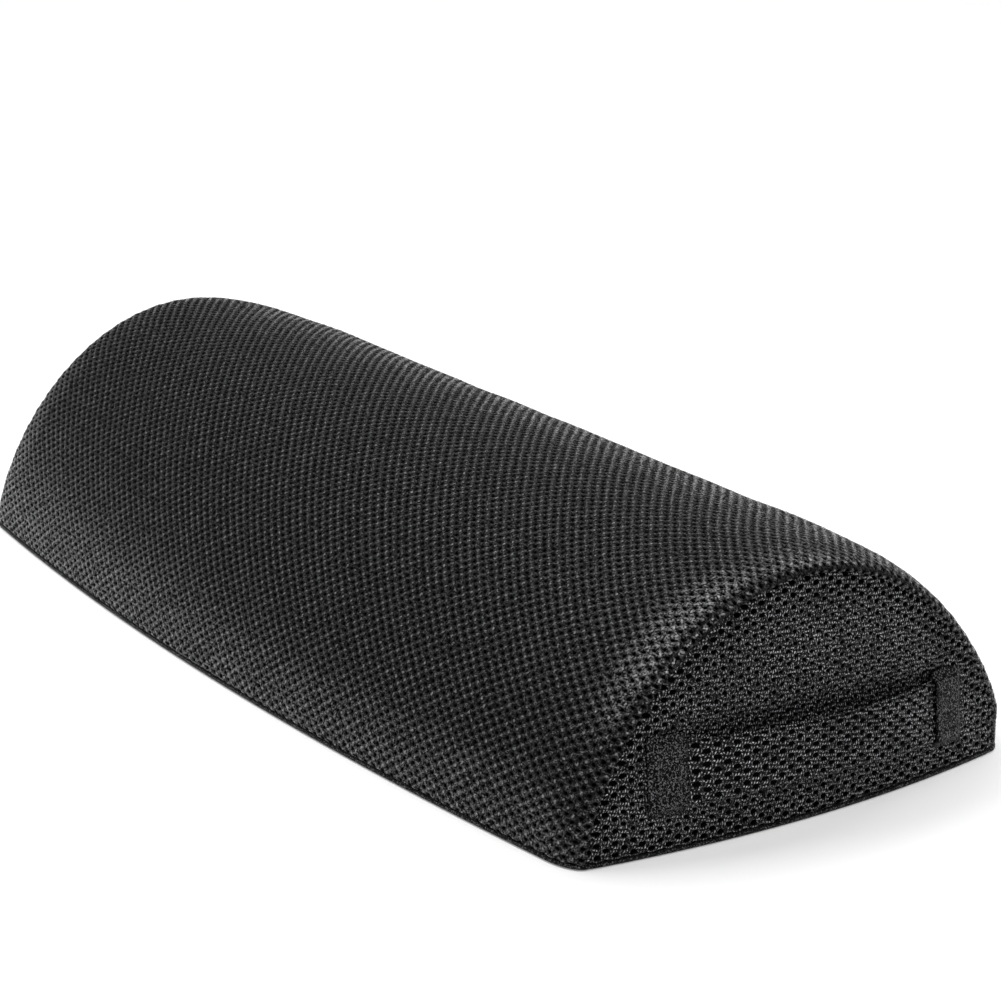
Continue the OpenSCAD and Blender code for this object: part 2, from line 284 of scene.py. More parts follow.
# Materials
def fill(tree, socket, value):
    if isinstance(value, bpy.types.NodeSocket):
        tree.links.new(value, socket)
    else:
        socket.default_value = value


def setInputs(tree, node, **values):
    for key, value in values.items():
        fill(tree, node.inputs[key.replace("_", " ")], value)


def newMaterial(name, **values):
    material = bpy.data.materials.new(name)
    material.use_nodes = True
    tree = material.node_tree
    shader = tree.nodes["Principled BSDF"]
    setInputs(tree, shader, **values)
    return material, tree, shader


def maths(tree, operation, *values):
    node = tree.nodes.new("ShaderNodeMath")
    node.operation = operation
    for socket, value in zip(node.inputs, values):
        fill(tree, socket, value)
    return node.outputs[0]


def square(tree, value):
    return maths(tree, "MULTIPLY", value, value)


def mixColour(tree, share, first, second):
    node = tree.nodes.new("ShaderNodeMix")
    node.data_type = "RGBA"
    for index, value in ((0, share), (6, first), (7, second)):
        fill(tree, node.inputs[index], value)
    return node.outputs[2]


def remap(tree, value, fromLow, fromHigh, toLow, toHigh):
    node = tree.nodes.new("ShaderNodeMapRange")
    for socket, given in zip(node.inputs, (value, fromLow, fromHigh, toLow, toHigh)):
        fill(tree, socket, given)
    return node.outputs[0]


def noise(tree, scale, detail):
    node = tree.nodes.new("ShaderNodeTexNoise")
    place = tree.nodes.new("ShaderNodeTexCoord").outputs["Object"]
    setInputs(tree, node, Scale=scale, Detail=detail, Vector=place)
    return node.outputs["Fac"]


def surfaceMap(tree, name):
    # The two coordinates of one of the piece's own UV maps
    uv = tree.nodes.new("ShaderNodeUVMap")
    uv.uv_map = name
    parts = tree.nodes.new("ShaderNodeSeparateXYZ")
    tree.links.new(uv.outputs[0], parts.inputs[0])
    return parts.outputs[0], parts.outputs[1]


def bump(tree, shader, height, distance):
    node = tree.nodes.new("ShaderNodeBump")
    setInputs(tree, node, Distance=distance, Height=height)
    setInputs(tree, shader, Normal=node.outputs[0])


def grey(value, blue=0):
    return (value, value, value * (1 + blue), 1)


def total(tree, *terms):
    # The sum of several values, each with its weight
    result = 0.0
    for value, weight in terms:
        result = maths(tree, "MULTIPLY_ADD", value, weight, result)
    return result


# One strand of the mesh: where its rim is on the map, how narrow and short its raised loop is,
# the plies in one turn and their slant, and the scales of its fibres and of the clouds that
# make its painted glints uneven
strand = {"rim": 0.3, "loopNarrow": 2.5, "loopShort": 1.2, "plies": 8, "slant": 6,
          "fibres": 1250, "clouds": 60}
yarnTint = 0.05


def spacerMaterial(name, beads, glintGrey, sheen):
    # The map gives the share of the way round a hole, and the level from the hole's wall (0)
    # over its rim (a third) to the cell's border (1)
    material, tree, shader = newMaterial(name, Coat_Roughness=0.3)
    turnShare, level = surfaceMap(tree, "strand")
    across = remap(tree, level, strand["rim"], 1, 0, 1)
    turnAngle = maths(tree, "MULTIPLY", turnShare, 2 * math.pi)
    if beads:
        # One strand between two holes, with a raised loop in the middle of each wale's side
        ridge = maths(tree, "SINE", maths(tree, "MULTIPLY", across, math.pi / 2))
        away = maths(tree, "MULTIPLY", maths(tree, "SUBTRACT", 1, across), strand["loopNarrow"])
        aside = maths(tree, "MULTIPLY", maths(tree, "COSINE", turnAngle), strand["loopShort"])
        far = maths(tree, "ADD", square(tree, away), square(tree, aside))
        bead = maths(tree, "MAXIMUM", maths(tree, "SUBTRACT", 1, far), 0)
    else:
        # One yarn round each hole, with a groove to the next
        ridge = maths(tree, "SINE", maths(tree, "MULTIPLY", across, math.pi))
        bead = 0.0
    # Its plies show as short slanted dashes, and loose fibres roughen it and break up its painted
    # glints
    along = 2 * math.pi * strand["plies"]
    plies = maths(tree, "SINE", total(tree, (turnShare, along), (across, strand["slant"])))
    fibre = noise(tree, strand["fibres"], 1)
    bump(tree, shader, total(tree, (ridge, 0.3), (bead, 0.5), (plies, 0.06), (fibre, 0.4)), 1 * mm)
    # Painted shade: the dashes' colour fades to black towards each hole's rim, and on the end and strap
    # mesh also into the groove at each cell's border
    dashes = maths(tree, "MULTIPLY", remap(tree, plies, -0.3, 0.9, 0, 1), ridge)
    # shine: painted highlights on the dashes and raised loops, broken up by the fibres; it also makes
    # the yarn glossier there
    shine = maths(tree, "MULTIPLY", total(tree, (dashes, 0.4 if beads else 1), (bead, 1.3)),
                  remap(tree, fibre, 0.4, 0.6, 0.08, 1))
    cloudy = remap(tree, noise(tree, strand["clouds"], 3), 0.35, 0.65, 0.6, 1)
    # lit paints these highlights into the base colour, up to the panel's glint grey over near-black
    # yarn; the clouds make them uneven
    lit = maths(tree, "MULTIPLY", square(tree, shine), cloudy)
    setInputs(tree, shader, Base_Color=mixColour(tree, lit, grey(0.001), grey(glintGrey, yarnTint)),
              Roughness=remap(tree, shine, 0, 1, 0.45, 0.2),
              Specular_IOR_Level=remap(tree, shine, 0, 1, 0.06, 1))
    # The fibres on top lie along the panel and shine together, whatever the cell's own shape
    panelNormal = tree.nodes.new("ShaderNodeAttribute")
    panelNormal.attribute_name = "panelNormal"
    toWorld = tree.nodes.new("ShaderNodeVectorTransform")
    toWorld.vector_type = "NORMAL"
    toWorld.convert_from = "OBJECT"
    toWorld.convert_to = "WORLD"
    setInputs(tree, toWorld, Vector=panelNormal.outputs["Vector"])
    topFibres = remap(tree, fibre, 0.42, 0.66, 0, 2.2 * sheen)
    setInputs(tree, shader, Coat_Normal=toWorld.outputs[0],
              Coat_Weight=maths(tree, "MULTIPLY", topFibres, ridge))
    return material


def backingMaterial():
    # A near-black sheet under the holes: the mesh's black lower layer, its darkness also painted shade
    # for the deep inside of the spacer
    material, tree, shader = newMaterial("meshBacking", Roughness=0.9, Specular_IOR_Level=0.02)
    knit = noise(tree, 1400, 2)
    bump(tree, shader, knit, 0.2 * mm)
    setInputs(tree, shader, Base_Color=mixColour(tree, knit, grey(0.0002), grey(0.002)))
    return material


def weaveMaterial(name, low, high, pitch, fuzz=1.0):
    # Plain weave: two crossed sets of threads, each over and under the other. With less fuzz
    # the threads show more than the loose fibres on them. Its near-black colour carries painted
    # glints where the loose fibres catch the light, and is lighter on every other crossing.
    material, tree, shader = newMaterial(name, Roughness=0.35)
    waves = [maths(tree, "SINE", maths(tree, "MULTIPLY", share, math.pi / pitch))
             for share in surfaceMap(tree, "weave")]
    over = maths(tree, "MULTIPLY", waves[0], waves[1])
    ribs = maths(tree, "MAXIMUM", maths(tree, "ABSOLUTE", waves[0]), maths(tree, "ABSOLUTE", waves[1]))
    fibre = noise(tree, 1500, 1)
    bump(tree, shader, total(tree, (over, 0.08), (ribs, 0.08), (fibre, 0.5)), 1 * mm)
    level = total(tree, (fibre, fuzz), (over, 0.16 - 0.12 * fuzz), (0.5, 1 - fuzz))
    # Painted glints: the brightest loose fibres are painted lighter in the base colour, where the yarn
    # is also glossier
    tuftGlints = remap(tree, level, 0.46, 0.66, 0, 1)
    lit = square(tree, tuftGlints)
    setInputs(tree, shader, Base_Color=mixColour(tree, lit, grey(low), grey(high, yarnTint)),
              Specular_IOR_Level=remap(tree, lit, 0, 1, 0.03, 0.7))
    return material


def plainMaterial(name, low, high, roughness, scale, depth, specular=0.5):
    material, tree, shader = newMaterial(name, Specular_IOR_Level=specular)
    grain = noise(tree, scale, 4)
    bump(tree, shader, grain, depth)
    share = remap(tree, grain, 0.35, 0.65, 0, 1)
    setInputs(tree, shader, Base_Color=mixColour(tree, share, low, high),
              Roughness=remap(tree, share, 0, 1, roughness - 0.08, roughness + 0.08))
    return material


# Lit and shaded copies of one mesh yarn: the grey of the painted glints is set per panel by how bright
# it looks in its light, low on the crown and high on the ends and the strap
crownMaterial = spacerMaterial("crownMesh", True, 0.12, 0.85)
endMaterial = spacerMaterial("endMesh", False, 0.72, 0.4)
strapMaterial = spacerMaterial("strapMesh", False, 0.9, 0.3)
backMaterial = backingMaterial()
tabMaterial = weaveMaterial("tabWeave", 0.0015, 0.11, 0.5 * mm)
baseMaterial = weaveMaterial("baseWeave", 0.003, 0.1, 0.6 * mm, 0.7)
tapeMaterial = weaveMaterial("tapeWeave", 0.003, 0.08, 0.45 * mm, 0.3)
dotMaterial = plainMaterial("gripRubber", grey(0.022), grey(0.034), 0.45, 900, 0.05 * mm)
foamMaterial = plainMaterial("foam", grey(0.13), grey(0.2), 0.9, 1200, 0.4 * mm)
toothMaterial = plainMaterial("toothPlastic", grey(0.008), grey(0.016), 0.5, 700, 0.05 * mm, 0.25)
metalMaterial = plainMaterial("enamel", grey(0.02), grey(0.04), 0.32, 500, 0.03 * mm)
threadMaterial = plainMaterial("thread", grey(0.02), grey(0.045), 0.4, 3500, 0.08 * mm)


# Outlines of flat panels
def arcOutline(steps):
    # The end panel's edge, from the front corner over the rim and back along the floor
    sweep = np.linspace(0, math.pi / 2, steps)
    y = np.concatenate([-endFront * np.cos(sweep), endRear * np.sin(sweep[1:])])
    arc = np.stack([y, deck + rimHeight(y)], axis=-1)
    return np.concatenate([arc, [[endRear, deck]]])


def insideOf(outline, points):
    inside = np.zeros(len(points), dtype=bool)
    for a, b in zip(outline, np.roll(outline, -1, axis=0)):
        spans = (a[1] > points[:, 1]) != (b[1] > points[:, 1])
        rise = b[1] - a[1] if b[1] != a[1] else 1
        inside ^= spans & (points[:, 0] < a[0] + (points[:, 1] - a[1]) / rise * (b[0] - a[0]))
    return inside


def nearestOn(outline, points):
    # The nearest point of the outline, how far away it is, and where it lies along it
    nearest, run = points.copy(), 0
    distance, along = np.full(len(points), np.inf), np.zeros(len(points))
    for a, b in zip(outline, np.roll(outline, -1, axis=0)):
        edge = b - a
        share = np.clip((points - a) @ edge / (edge @ edge), 0, 1)
        foot = a + share[:, None] * edge
        away = np.linalg.norm(points - foot, axis=1)
        closer = away < distance
        nearest[closer], distance[closer] = foot[closer], away[closer]
        along[closer] = run + share[closer] * np.linalg.norm(edge)
        run += np.linalg.norm(edge)
    return nearest, distance, along


endOutline = arcOutline(steps=50)
topHigh = profileLength + zipBand
topOutline = np.array([(-sideHalf, 0), (sideHalf, 0), (sideHalf, topHigh), (notch, topHigh),
                       (notch, profileLength), (-notch, profileLength), (-notch, topHigh),
                       (-sideHalf, topHigh)])

# Foam core, swollen as a cloth skin under pressure. Its swell also crowns the cover, and the
# foam itself shows a part of it, so that it stays under the mesh.
pad = {"voxel": 6 * mm, "pressure": 4, "frames": 20, "cap": 5 * mm, "shown": 0.4,
       "heldHeight": 10 * mm, "heldSeam": 12 * mm, "grip": 2}
# The long weak waves of any sewn cover, and how it follows the foam's points under it
drape = {"waves": 7, "waveLength": 14 * mm, "waveHeight": 0.1 * mm, "points": 5, "near": 2 * mm}


def heldWeights(coords):
    # The skin is held along the floor and at the two end seams
    seam = np.hypot(np.abs(coords[:, 0]) - seamHalf, nearestOn(endOutline, coords[:, 1:])[1])
    low = 1 - (coords[:, 2] - deck) / pad["heldHeight"]
    return np.clip(np.maximum(low, 1 - seam / pad["heldSeam"]) * pad["grip"], 0, 1)


def foamCore():
    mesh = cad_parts["foam_core"].data.copy()
    mesh.materials.clear()
    weld(mesh, tiny)
    core = newObject("core", mesh)
    remesh = core.modifiers.new("remesh", "REMESH")
    remesh.mode = "VOXEL"
    remesh.voxel_size = pad["voxel"]
    mesh = appliedMesh(core)
    rest = getCoords(mesh)
    skin = newObject("skin", mesh.copy())
    held = skin.vertex_groups.new(name="held")
    for index, weight in enumerate(heldWeights(rest)):
        held.add([index], float(weight), "REPLACE")
    cloth = skin.modifiers.new("cloth", "CLOTH")
    cloth.settings.vertex_group_mass = "held"
    cloth.settings.use_pressure = True
    cloth.settings.uniform_pressure_force = pad["pressure"]
    cloth.settings.effector_weights.gravity = 0
    cloth.point_cache.frame_end = pad["frames"]
    for step in range(1, pad["frames"] + 1):
        scene.frame_set(step)
    moved = getCoords(appliedMesh(skin)) - rest
    scene.frame_set(1)
    length = np.linalg.norm(moved, axis=1, keepdims=True)
    moved *= np.minimum(1, pad["cap"] / np.maximum(length, 1e-9))
    print("scene: foam swells", round(float(length.max()) / mm, 1), "mm")
    return mesh, rest, moved


foamMesh, foamRest, foamMoved = foamCore()
foamTree = KDTree(len(foamRest))
for index, place in enumerate(foamRest):
    foamTree.insert(place, index)
foamTree.balance()
# The cover starts smaller by the foam's usual swell
usualSwell = float(np.median(np.linalg.norm(foamMoved, axis=1)))
coverWaves = [(random.normal(size=3), random.uniform(0, 2 * math.pi)) for k in range(drape["waves"])]
swells = {}


def swellAt(coords, normals):
    # How far the foam and the cover's own waves push it out
    swell = np.zeros(len(coords))
    for index, place in enumerate(coords):
        found = foamTree.find_n(place, drape["points"])
        shares = np.array([1 / (distance + drape["near"]) for _, _, distance in found])
        moved = foamMoved[[near for _, near, _ in found]]
        swell[index] = (shares @ moved) @ normals[index] / shares.sum()
    uneven = sum(np.sin(coords @ direction / drape["waveLength"] + phase)
                 for direction, phase in coverWaves)
    return swell + uneven * drape["waveHeight"]


# Carry handle: a folded mesh strap between two woven tabs
handle = {"tabOut": 74 * mm, "tabIn": 57 * mm, "tabHeight": 30 * mm, "tabThick": 1.2 * mm,
          "hem": 1 * mm, "ramp": 2.5 * mm, "patchIn": 58.8 * mm, "z": 29 * mm, "drop": 3.4 * mm,
          "rise": 1.8 * mm, "width": 23 * mm, "thick": 2.8 * mm, "endThick": 2 * mm, "filling": 4,
          "bowX": 253.34 * mm, "seat": 0.3 * mm, "flare": 1.09, "skin": 0.8 * mm, "seamGap": 0.15 * mm,
          "grid": (60, 28)}
strapEnd = handle["tabOut"] - handle["hem"] - handle["ramp"] - handle["seat"]
stitch = {"inset": 3.2 * mm, "pitch": 2.5 * mm, "length": 2.1 * mm,
          "halfWidth": 0.28 * mm, "halfHeight": 0.22 * mm, "sunk": 0.35 * mm}
# A tab's cloth: the groove along its stitches, its higher hem and its rounded edge
tabForm = {"groove": 0.3 * mm, "grooveWidth": 0.5 * mm, "hem": 0.25 * mm, "hemWidth": 0.8 * mm,
           "round": 0.35 * mm, "roundWidth": 0.9 * mm, "clearance": 0.3 * mm,
           "grid": (26, 44)}
# The strap's pull draws the end panel in, along the strap's upper edge
creaseForm = {"depth": 2.2 * mm, "offset": 1 * mm, "above": 5 * mm, "below": 12 * mm, "fade": 20 * mm}


def bow(y):
    return np.maximum(0, 1 - (y / handle["tabIn"]) ** 2)


def lineHeight(y):
    # The line from tab to tab, which falls towards the rear
    return handle["z"] - handle["drop"] * y / (handle["tabIn"] + handle["tabOut"])


def strapMiddle(y):
    return lineHeight(y) + handle["rise"] * bow(y)


# Round the strap from the middle of its front over its top edge: run, height and depth
halfTurn = np.linspace(0, math.pi, 24)
strapEdge = handle["thick"] / 2
strapHalf = handle["width"] / 2 - strapEdge
overTop = strapHalf + strapEdge * np.sin(halfTurn)
strapHeights = np.concatenate([[0], overTop, -overTop, [0]])
strapDepths = np.concatenate([[1], np.cos(halfTurn), -np.cos(halfTurn), [1]])
strapRuns = runLengths(strapHeights, strapDepths * strapEdge)


# Spacer mesh: hexagonal cells, each a ring of strands round a hole. column is half the pitch
# along the wales, row the pitch across them. wale, diagonal, between and rim are depths under
# the top of the mesh: in the middle of a border along the wales, elsewhere on the border, half
# way to the hole, and at the hole. open gives the holes' size at a seam and away from it.
lattice = {"rim": 0.5 * mm, "depth": 1.5 * mm, "holeFrom": 0.45 * mm, "rowWeight": 1.4,
           "jitter": 0.07 * mm, "backing": 5 * mm, "endGrid": (40, 16)}
topCell = {"column": 2.4 * mm, "row": 5.8 * mm, "holeWide": 0.9 * mm, "holeHigh": 1.0 * mm,
           "wale": 0, "diagonal": 0.2 * mm, "between": 0.12 * mm, "open": (0.85, 0.7),
           "openReach": 14 * mm}
endCell = {"column": 3.6 * mm, "row": 4.5 * mm, "holeWide": 1.5 * mm, "holeHigh": 0.95 * mm,
           "wale": 0.4 * mm, "diagonal": 0.3 * mm, "between": 0, "open": (1, 0.6),
           "openReach": 16 * mm}
strapCell = {"column": 3.7 * mm, "row": 4.47 * mm, "holeWide": 1.45 * mm, "holeHigh": 0.85 * mm,
             "wale": 0.4 * mm, "diagonal": 0.3 * mm, "between": 0}
hexagon = ((1, 0), (0.5, 1), (0, 1), (-0.5, 1), (-1, 0), (-0.5, -1), (0, -1), (0.5, -1))
ringPoints = len(hexagon)
ringAngle = 2 * math.pi / ringPoints

# How a panel meets its seams: it rolls in, puckers between the stitches, and starts to swell
seamForm = {"roll": 1.5 * mm, "still": 5 * mm, "pucker": 0.25 * mm, "puckerLength": 1.9 * mm,
            "puckerDrift": 31 * mm, "puckerReach": 6 * mm, "swellReach": 40 * mm}
# Where the pitch of the crown's mesh changes, from seam to seam and from the front edge up,
# and how far the cloth sways from a straight line
topRows = {"places": np.array([0, 12, 60, 425, 473, 485]) * mm,
           "pitches": np.array([6.9, 6.6, 5.8, 5.8, 6.6, 6.9]) * mm, "sway": 0.9 * mm, "reach": 60 * mm}
topColumns = {"places": np.array([0, 20, 75, 160, 300]) * mm,
              "pitches": np.array([2.2, 2.25, 2.4, 2.5, 2.4]) * mm, "sway": 1.2 * mm, "reach": 80 * mm}
endRows = {"start": 0.3, "sway": 1.2 * mm, "reach": 45 * mm}


def cellPlace(cell, step, level):
    # Levels: 0 the cell's border, 1 between, 2 the hole's rim, 3 the bottom of its wall
    angle = step * ringAngle
    border = Vector((hexagon[step][0] * cell["column"] * 2 / 3, hexagon[step][1] * cell["row"] / 2, 0))
    hole = Vector((cell["holeWide"] * math.cos(angle), cell["holeHigh"] * math.sin(angle), 0))
    edge = cell["wale"] if step % 4 == 2 else cell["diagonal"]
    drop = (edge, cell["between"], lattice["rim"], lattice["depth"])[level]
    return border.lerp(hole, (0, 0.5, 1, 1)[level]) - Vector((0, 0, drop))


def cellTile(cell):
    # Two cells, which repeat along x by two columns and along y by one row
    bm = bmesh.new()
    uv = bm.loops.layers.uv.new("strand")
    places = {}
    for shift in ((0, 0), (cell["column"], cell["row"] / 2)):
        loops = []
        for level in range(4):
            ring = bmesh.ops.create_circle(bm, segments=ringPoints, radius=4 - level)["verts"]
            for corner in ring:
                step = round(math.atan2(corner.co.y, corner.co.x) / ringAngle) % ringPoints
                places[corner] = (step, level, shift)
            loops.append({edge for corner in ring for edge in corner.link_edges})
        for outer, inner in zip(loops, loops[1:]):
            bmesh.ops.bridge_loops(bm, edges=list(outer | inner))
    for face in bm.faces:
        steps = [places[loop.vert][0] for loop in face.loops]
        for loop in face.loops:
            step, level, shift = places[loop.vert]
            turnShare = (ringPoints if step == 0 and ringPoints - 1 in steps else step) / ringPoints
            loop[uv].uv = (turnShare, 1 - level / 3)
    for corner, (step, level, shift) in places.items():
        corner.co = cellPlace(cell, step, level) + Vector((*shift, 0))
    bmesh.ops.remove_doubles(bm, verts=bm.verts, dist=tiny)
    bmesh.ops.recalc_face_normals(bm, faces=bm.faces)
    faceTowards(bm, 2)
    return meshOf(bm)


def latticeSheet(cell, columns, rows, closed=False):
    # Flat cells, placed in units of columns and rows, with spare ones round the borders
    tile = newObject("cells", cellTile(cell))
    counts = (math.ceil(columns / 2) + 2, rows if closed else math.ceil(rows) + 1)
    for axis, pitch in enumerate((2 * cell["column"], cell["row"])):
        repeat = tile.modifiers.new("repeat", "ARRAY")
        repeat.use_relative_offset = False
        repeat.use_constant_offset = True
        repeat.constant_offset_displace = [pitch if k == axis else 0 for k in range(3)]
        repeat.count = counts[axis]
        repeat.use_merge_vertices = True
        repeat.merge_threshold = tiny
    mesh = weld(appliedMesh(tile), tiny)
    coords = getCoords(mesh) / np.array([cell["column"], cell["row"], 1])
    setCoords(mesh, coords - np.array([2, 0, 0]))
    return mesh


def openHoles(coords, cell, toSeam):
    # Each hole shrinks about its middle, which is the nearest one when rows count for more
    # than columns. The coordinates are still in columns and rows.
    share = lerp(*cell["open"], softStep(toSeam / cell["openReach"]))
    hole = coords[:, 2] < -lattice["holeFrom"]
    flat, weights = coords[hole, :2], [1, lattice["rowWeight"]]
    even = np.round(flat / [2, 1]) * [2, 1]
    odd = np.round((flat - [1, 0.5]) / [2, 1]) * [2, 1] + [1, 0.5]
    toEven, toOdd = (np.hypot(*((flat - middle) * weights).T) for middle in (even, odd))
    middle = np.where((toEven < toOdd)[:, None], even, odd)
    coords[hole, :2] = lerp(middle, flat, share[hole, None])


def dropFaces(mesh, flags):
    # Deletes the faces that have no flagged corner
    def drop(bm):
        gone = [face for face in bm.faces if not any(flags[corner.index] for corner in face.verts)]
        bmesh.ops.delete(bm, geom=gone, context="FACES")

    editMesh(mesh, drop)


def cutTo(sheet, outline):
    # Cuts a flat sheet to an outline: what lies outside is dropped or moved to the edge
    dropFaces(sheet, insideOf(outline, getCoords(sheet)[:, :2]))
    coords = getCoords(sheet)
    outside = ~insideOf(outline, coords[:, :2])
    coords[outside, :2] = nearestOn(outline, coords[outside, :2])[0]
    setCoords(sheet, coords)


def rolled(distance):
    # How far a panel's surface turns in at this distance from its sewn edge
    radius = seamForm["roll"]
    return radius - np.sqrt(np.maximum(0, radius ** 2 - np.maximum(0, radius - distance) ** 2))


def onSurface(surface, u, v, outward, low, high):
    # Points of a surface and its normals there, taken just inside its borders
    coords = surface(u, v)
    step = 0.3 * mm
    u = np.clip(u, low[0] + step, high[0] - step)
    v = np.clip(v, low[1] + step, high[1] - step)
    alongU = surface(u + step, v) - surface(u - step, v)
    alongV = surface(u, v + step) - surface(u, v - step)
    normals = np.cross(alongU, alongV)
    normals /= np.maximum(1e-12, np.linalg.norm(normals, axis=-1, keepdims=True))
    return coords, normals * np.sign((normals * outward(coords)).sum(-1, keepdims=True) + 1e-9)


def sampled(values, low, high, points):
    # Reads a coarse grid of values between its points
    last = np.array(values.shape) - 1
    places = np.clip((points - low) / (np.array(high) - low), 0, 1) * last
    cells = np.minimum(places.astype(int), last - 1)
    u, v = (places - cells).T
    i, j = cells.T
    front = lerp(values[i, j], values[i, j + 1], v)
    return lerp(front, lerp(values[i + 1, j], values[i + 1, j + 1], v), u)


def crease(coords):
    y, z = coords[:, 1], coords[:, 2]
    above = z - strapMiddle(y) - handle["width"] / 2
    reach = np.where(above > 0, creaseForm["above"], creaseForm["below"])
    fade = softStep((handle["tabOut"] - np.abs(y)) / creaseForm["fade"])
    return creaseForm["depth"] * np.exp(-((above - creaseForm["offset"]) / reach) ** 2) * fade


def settle(sheet, outline, surface, outward, low, high, side=0):
    # Puts a flat sheet on its surface, turned in at its edge and swollen between its seams
    if (low, high) not in swells:
        grid = np.linspace(low[0], high[0], 70), np.linspace(low[1], high[1], 50)
        u, v = np.meshgrid(*grid, indexing="ij")
        swell = swellAt(*onSurface(surface, u.ravel(), v.ravel(), outward, low, high))
        swells[low, high] = swell.reshape(u.shape)
    coords = getCoords(sheet)
    distance, along = nearestOn(outline, coords[:, :2])[1:]
    inner = softStep(distance / seamForm["still"])
    coords += random.normal(0, lattice["jitter"], coords.shape) * inner[:, None]
    placed, normals = onSurface(surface, coords[:, 0], coords[:, 1], outward, low, high)
    pucker = np.sin(along / seamForm["puckerLength"] + 2 * np.sin(along / seamForm["puckerDrift"]))
    pucker *= np.exp(-distance / seamForm["puckerReach"]) * seamForm["pucker"]
    swell = sampled(swells[low, high], low, high, coords[:, :2]) - usualSwell
    swell *= softStep(distance / seamForm["swellReach"])
    height = coords[:, 2] - rolled(distance) + swell + pucker * inner
    if side > 0:
        height -= crease(placed) * inner
    mirror = np.array([-1 if side < 0 else 1, 1, 1])
    keepNormals(sheet, normals * mirror)
    setCoords(sheet, (placed + normals * height[:, None]) * mirror)
    if side < 0:
        sheet.flip_normals()
    return sheet


def finished(sheet):
    # Without the slivers that cutting leaves
    weld(sheet, 2 * tiny)
    return editMesh(sheet, lambda bm: bmesh.ops.dissolve_degenerate(bm, edges=bm.edges, dist=2 * tiny))


def spacing(length, places, pitches):
    # How many pitches fit in a length where they change along it, and where each one lies
    along = np.linspace(0, length, 800)
    counted = np.concatenate([[0], np.cumsum(np.diff(along) / np.interp(along[1:], places, pitches))])
    count = round(counted[-1])

    def placeOf(index):
        inside = np.clip(index, 0, count)
        return np.interp(inside, counted * count / counted[-1], along) + (index - inside) * pitches[0]

    return count, placeOf


def awayFromAxis(coords):
    # Away from a line inside the cushion, and a little towards its ends
    inside, endShare = 20 * mm, 0.1
    return coords * np.array([endShare, 1, 1]) - np.array([0, 0, inside])


def alongX(coords):
    return coords * 0 + np.array([1, 0, 0])


def backingGrid(low, high):
    counts = [max(6, round((b - a) / lattice["backing"])) for a, b in zip(low, high)]
    return gridMesh(*counts, low, high)


def topPanel():
    # The wales run over the crown
    rows, rowPlace = spacing(2 * sideHalf, topRows["places"], topRows["pitches"])
    columns, columnPlace = spacing(topHigh, topColumns["places"], topColumns["pitches"])
    sheet = latticeSheet(topCell, columns, rows)
    index = getCoords(sheet)
    openHoles(index, topCell, sideHalf - np.abs(rowPlace(index[:, 1]) - sideHalf))
    s, t = rowPlace(index[:, 1]) - sideHalf, columnPlace(index[:, 0])
    s += topRows["sway"] * np.sin(t / topRows["reach"] + 1)
    t += topColumns["sway"] * np.sin(s / topColumns["reach"])
    setCoords(sheet, np.stack([s, t, index[:, 2]], axis=-1))
    sheet.flip_normals()
    cutTo(sheet, topOutline)
    backing = merged([backingGrid((-sideHalf, 0), (sideHalf, profileLength)),
                      backingGrid((-sideHalf, profileLength), (-notch, topHigh)),
                      backingGrid((notch, profileLength), (sideHalf, topHigh))])
    setCoords(backing, getCoords(backing) - np.array([0, 0, lattice["depth"]]))
    for part in (sheet, backing):
        settle(part, topOutline, sideSurface, awayFromAxis, (-sideHalf, 0), (sideHalf, topHigh))
    return joined("topMesh", [finished(sheet), backing], [crownMaterial, backMaterial])


def endPanel(name, side):
    # The wales run from front to rear
    columns = (endFront + endRear) / endCell["column"] + 2
    sheet = latticeSheet(endCell, columns, crown / endCell["row"] + 1)
    index = getCoords(sheet)

    def placeOf(index):
        y = (index[:, 0] - 1) * endCell["column"] - endFront
        z = (index[:, 1] - endRows["start"]) * endCell["row"] + deck
        return np.stack([y, z + endRows["sway"] * np.sin(y / endRows["reach"])], axis=-1)

    openHoles(index, endCell, nearestOn(endOutline, placeOf(index))[1])
    setCoords(sheet, np.concatenate([placeOf(index), index[:, 2:]], axis=1))
    cutTo(sheet, endOutline)
    backing = gridMesh(*lattice["endGrid"], (0, 0), (1, 1))
    shares = getCoords(backing)
    y = lerp(-endFront, endRear, shares[:, 0])
    z = deck + shares[:, 1] * rimHeight(y)
    setCoords(backing, np.stack([y, z, shares[:, 2] - lattice["depth"]], axis=-1))
    for part in (sheet, backing):
        settle(part, endOutline, endSurface, alongX, (-endFront, deck), (endRear, deck + crown), side)
    return joined(name, [finished(sheet), backing], [endMaterial, backMaterial])


dress(topPanel(), "cushion", "top_panel")
for name, side, node in (("endMeshRight", 1, "end_panel_right"), ("endMeshLeft", -1, "end_panel_left")):
    dress(endPanel(name, side), "cushion", node)
print("scene: mesh panels")

setCoords(foamMesh, foamRest + foamMoved * pad["shown"])
foam = dress(joined("foam", [foamMesh], [foamMaterial]), "cushion", "foam_core")


# Strap and tabs of the handle
def strapBack(y, z):
    return lerp(endSurface(y, z)[..., 0] + handle["seat"], handle["bowX"], bow(y))


def strapSurface(y, run):
    run = np.mod(run, strapRuns[-1])
    flare = lerp(handle["flare"], 1, bow(y))
    z = strapMiddle(y) + np.interp(run, strapRuns, strapHeights) * flare
    thick = lerp(handle["endThick"], handle["thick"], np.minimum(1, handle["filling"] * bow(y)))
    x = strapBack(y, z) + thick * (1 + np.interp(run, strapRuns, strapDepths)) / 2
    return np.stack([x, y, z], axis=-1)


def awayFromStrap(coords):
    # Away from the strap's middle line, where depth counts for more because the strap is thin
    depthWeight = 8
    y, z = coords[:, 1], coords[:, 2]
    middle = np.stack([strapBack(y, z) + strapEdge, y, strapMiddle(y)], axis=-1)
    return (coords - middle) * np.array([depthWeight, 0, 1])


